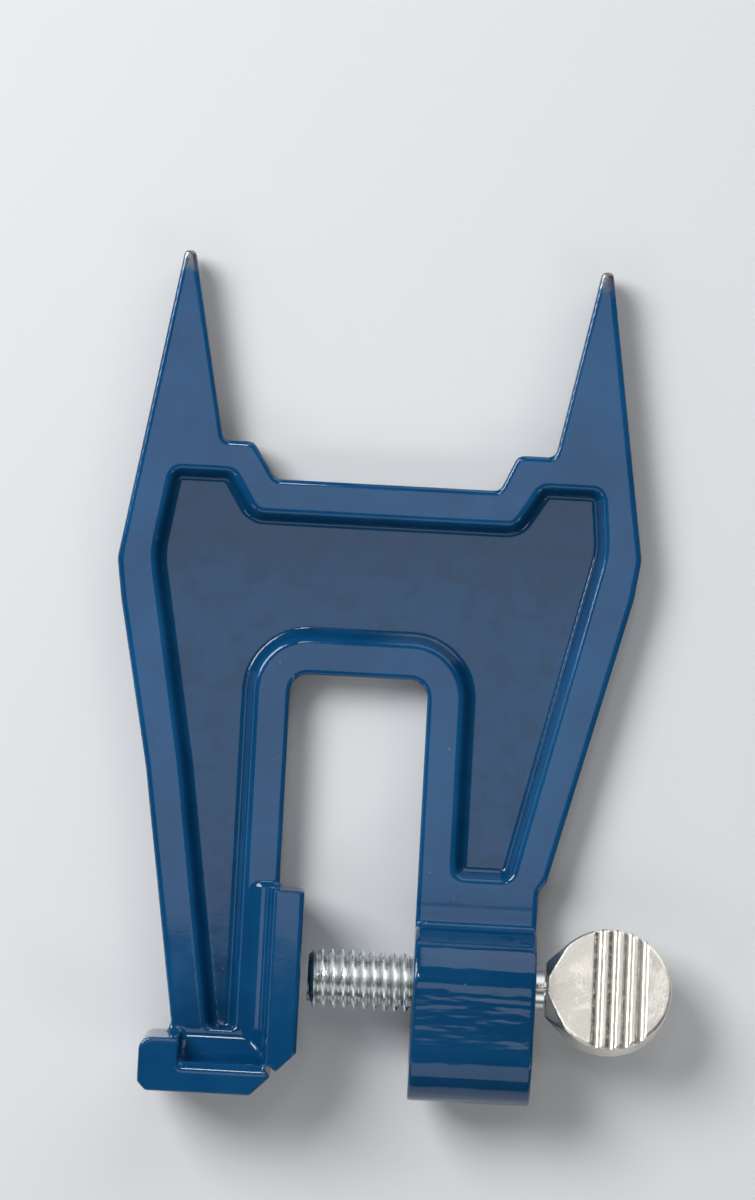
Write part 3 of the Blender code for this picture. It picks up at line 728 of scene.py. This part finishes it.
def brightZinc(s):
    made, tree, shader, position = newMaterial("brightZinc")
    place = addNode(tree, "SeparateXYZ", {0: position}).outputs
    # how far out from the screw's axis a point is tells crest from root; the roots get painted shade
    offAxis = addNode(tree, "CombineXYZ", {
        1: calc(tree, "SUBTRACT", place[1], screwAxis.y), 2: calc(tree, "SUBTRACT", place[2], screwAxis.z)})
    reach = addNode(tree, "VectorMath", {0: offAxis.outputs[0]}, operation="LENGTH").outputs["Value"]
    onThread = calc(tree, "LESS_THAN", place[0], s["threadEnd"])
    deep = calc(tree, "MULTIPLY", ramp(tree, reach, s["crestAt"], s["rootAt"]), onThread)
    stains = useGroup(tree, "stains", position, Size=s["stainSize"], Start=0.42, Full=0.70)
    specks = useGroup(tree, "specks", position, Spacing=s["speckSpacing"], Speck=0.16, Share=0.2)
    tip = ramp(tree, place[0], screwLow.x + s["tipCut"], screwLow.x)
    plated = blend(tree, stains, s["crest"], s["grey"], s["greyShare"])
    # painted shade: the thread's roots are darker than its crests
    plated = blend(tree, deep, plated, s["root"])
    # the tip and some specks are darker
    plated = blend(tree, tip, plated, s["shadeAndGrime"], s["tipShare"])
    plated = blend(tree, specks, plated, s["shadeAndGrime"], s["speckShare"])
    tree.links.new(plated, shader.inputs["Base Color"])
    shader.inputs["Metallic"].default_value = 1
    tree.links.new(ramp(tree, stains, 0.0, 1.0, *s["roughness"]), shader.inputs["Roughness"])
    waves = useGroup(
        tree, "waves", position, Fine_Size=s["fineSize"], Fine_Depth=s["fineDepth"], Broad_Size=s["waveSize"],
        Broad_Depth=s["waveDepth"])
    bumped(tree, shader, waves)
    return made


castingLook = {
    "face": (0.91, 0.88, 0.81, 1), "dull": (0.72, 0.69, 0.62, 1), "dullShare": 0.5, "stainSize": 0.0030,
    "pitAndShade": (0.22, 0.20, 0.17, 1), "hollowShadeShare": 0.9, "hollowShadeBreak": 0.001, "speckShare": 0.35,
    "speckSpacing": 0.0008,
    # the grooves' colour is painted shade
    "groove": (0.58, 0.55, 0.49, 1), "grooveShadeShare": 0.8, "grooveTop": 0.00266, "grooveFloor": 0.00238,
    "insideRim": 0.0093, "faceLevel": 0.0019,
    # painted shade on the grooves' walls, in the same dark colour as the screw's tip and specks
    "shadeAndGrime": (0.09, 0.085, 0.075, 1), "wallShadeShare": 0.85, "wallShadeBreak": 0.0011,
    "wallShadeFrom": (-0.37, -0.27), "wallShadeTo": (-0.06, -0.15),  # in shares of the grooves' pitch
    "roughness": (0.34, 0.50), "grainSize": 0.00035, "grainDepth": 0.030, "waveSize": 0.004, "waveDepth": 0.030,
}


def platedCasting(s):
    made, tree, shader, position = newMaterial("platedCasting")
    stains = useGroup(tree, "stains", position, Size=s["stainSize"], Start=0.45, Full=0.72)
    specks = useGroup(tree, "specks", position, Spacing=s["speckSpacing"], Speck=0.20, Share=0.3)
    # painted shade in the hollows, found from the mesh's concave corners
    hollowShade = useGroup(tree, "edges", position, Start=0.475, Full=0.40, Break_Size=s["hollowShadeBreak"])
    # how deep a point is below the disc's faces tells the grooves from what is between them, and the grooves
    # get painted shade
    centre = (headHigh.x - headForm["radius"] * mm, screwAxis.y, screwAxis.z)
    fromCentre = addNode(tree, "VectorMath", {0: position, 1: centre}, operation="SUBTRACT").outputs[0]
    turn = {"Vector": fromCentre, "Angle": math.radians(headForm["turn"])}
    level = addNode(tree, "VectorRotate", turn, rotation_type="X_AXIS").outputs[0]
    inDisc = addNode(tree, "SeparateXYZ", {0: level}).outputs
    depth = calc(tree, "ABSOLUTE", inDisc[2])
    outward = addNode(tree, "CombineXYZ", {0: inDisc[0], 1: inDisc[1]}).outputs[0]
    outward = addNode(tree, "VectorMath", {0: outward}, operation="LENGTH").outputs["Value"]
    inside = calc(tree, "LESS_THAN", outward, s["insideRim"])
    groove = calc(tree, "MULTIPLY", ramp(tree, depth, s["grooveTop"], s["grooveFloor"]), inside)
    skin = blend(tree, stains, s["face"], s["dull"], s["dullShare"])
    skin = blend(tree, groove, skin, s["groove"], s["grooveShadeShare"])
    # painted shade lies along the wall of each groove that is nearer the neck, less from groove to groove
    pitch = headForm["groovePitch"] * mm
    along = calc(tree, "MULTIPLY_ADD", inDisc[0], 1 / pitch, -headForm["firstGroove"] * mm / pitch)
    across = calc(tree, "SUBTRACT", calc(tree, "FRACT", calc(tree, "ADD", along, 0.5)), 0.5)
    shadeAndGrime = calc(tree, "MULTIPLY", ramp(tree, across, *s["wallShadeFrom"]), ramp(tree, across, *s["wallShadeTo"]))
    ragged = ramp(tree, noise(tree, position, s["wallShadeBreak"], 4.0, 0.7), 0.36, 0.56)
    fading = ramp(tree, along, headForm["grooves"] + 0.5, 0.0)
    fromFirst = calc(tree, "GREATER_THAN", along, -0.5)
    onFace = calc(tree, "GREATER_THAN", depth, s["faceLevel"])
    for limit in (ragged, fading, fromFirst, onFace, inside):
        shadeAndGrime = calc(tree, "MULTIPLY", shadeAndGrime, limit)
    skin = blend(tree, shadeAndGrime, skin, s["shadeAndGrime"], s["wallShadeShare"])
    # painted shade darkens the hollows; dark specks share the colour
    skin = blend(tree, hollowShade, skin, s["pitAndShade"], s["hollowShadeShare"])
    skin = blend(tree, specks, skin, s["pitAndShade"], s["speckShare"])
    tree.links.new(skin, shader.inputs["Base Color"])
    shader.inputs["Metallic"].default_value = 1
    tree.links.new(ramp(tree, stains, 0.0, 1.0, *s["roughness"]), shader.inputs["Roughness"])
    waves = useGroup(
        tree, "waves", position, Fine_Size=s["grainSize"], Fine_Depth=s["grainDepth"], Broad_Size=s["waveSize"],
        Broad_Depth=s["waveDepth"])
    bumped(tree, shader, waves)
    return made


makeFrame(sheetForm, glossPaint(paintLook))
makeScrew(screwForm, brightZinc(zincLook))
makeHead(headForm, platedCasting(castingLook))

# Floor, light and camera. A lamp's glow is how bright it looks in a mirror, where 1 is white.
stageSet = {
    "floorSize": 4, "floorColour": (0.72, 0.74, 0.76, 1), "floorRough": 0.7, "worldColour": (1, 1, 1, 1),
    "worldStrength": 0.05,
}
# The ceiling's near edge stops short, so that the lower parts mirror the dark room as in the photograph.
# The strip is too small to light anything, and only shows on bends and edges.
lamps = {
    "key": {"at": (-0.55, 0.42, 0.72), "aim": (0, 0, 0), "size": (0.5, 0.5), "glow": 8.8},
    "ceiling": {"at": (-0.02, 0.022, 4.4), "aim": (-0.02, 0.022, 0), "size": (0.8, 0.73), "glow": 0.95},
    "back": {"at": (0.5, 0.8, 0.5), "aim": (0.5, 0, 0), "size": (1.0, 0.8), "glow": 1.1},
    "front": {"at": (0, -0.80, 0.70), "aim": (0, 0, 0), "size": (1.0, 0.6), "glow": 0.75},
    "lowLeft": {"at": (-0.62, -0.52, 0.62), "aim": (0, 0, 0), "size": (0.25, 0.25), "glow": 3},
    "lowRight": {"at": (0.62, -0.48, 0.62), "aim": (0, 0, 0), "size": (0.25, 0.25), "glow": 3},
    "strip": {"at": (-0.049, 0.20, 0.70), "aim": (-0.049, 0, 0), "size": (0.045, 0.06), "glow": 14},
    "side": {"at": (-0.85, 0.0, 0.35), "aim": (0, 0, 0), "size": (0.5, 0.3), "glow": 0.9},
}
# The camera looks straight down, as in the photograph. The picture's height covers that much of the sheet's
# face, which the camera stands its rise above.
cameraSet = {
    "at": (-0.00398, 0.0122), "turn": 3.05, "rise": 0.8, "face": 0.0068, "covers": 0.1884, "sensor": 36,
    "nearest": 0.01,
}


def buildStage(s):
    onlySelect(None)
    bpy.ops.mesh.primitive_plane_add(size=s["floorSize"], location=(0, 0, 0))
    floor = bpy.context.object
    floor.name = "floor"
    pale = bpy.data.materials.new("paleFloor")
    pale.use_nodes = True
    shader = pale.node_tree.nodes["Principled BSDF"]
    shader.inputs["Base Color"].default_value = s["floorColour"]
    shader.inputs["Roughness"].default_value = s["floorRough"]
    floor.data.materials.append(pale)

    world = bpy.context.scene.world or bpy.data.worlds.new("studio")
    bpy.context.scene.world = world
    world.use_nodes = True
    backdrop = world.node_tree.nodes["Background"]
    backdrop.inputs["Color"].default_value = s["worldColour"]
    backdrop.inputs["Strength"].default_value = s["worldStrength"]


def hangLamp(name, s):
    bpy.ops.object.light_add(type="AREA", location=s["at"])
    lamp = bpy.context.object
    lamp.name = name
    lamp.data.shape = "RECTANGLE"
    lamp.data.size, lamp.data.size_y = s["size"]
    lamp.data.energy = s["glow"] * 4 * s["size"][0] * s["size"][1]
    lamp.rotation_euler = (Vector(s["aim"]) - Vector(s["at"])).to_track_quat("-Z", "Y").to_euler()


def buildCamera(s):
    place = (*s["at"], s["rise"] + s["face"])
    bpy.ops.object.camera_add(location=place, rotation=(0, 0, math.radians(s["turn"])))
    camera = bpy.context.object
    camera.data.lens = s["sensor"] * s["rise"] / s["covers"]
    camera.data.sensor_width = s["sensor"]
    camera.data.clip_start = s["nearest"]
    bpy.context.scene.camera = camera


buildStage(stageSet)
for name, settings in lamps.items():
    hangLamp(name, settings)
buildCamera(cameraSet)
bpy.context.scene.view_settings.view_transform = "Standard"
print("stage: floor,", len(lamps), "lamps and camera")
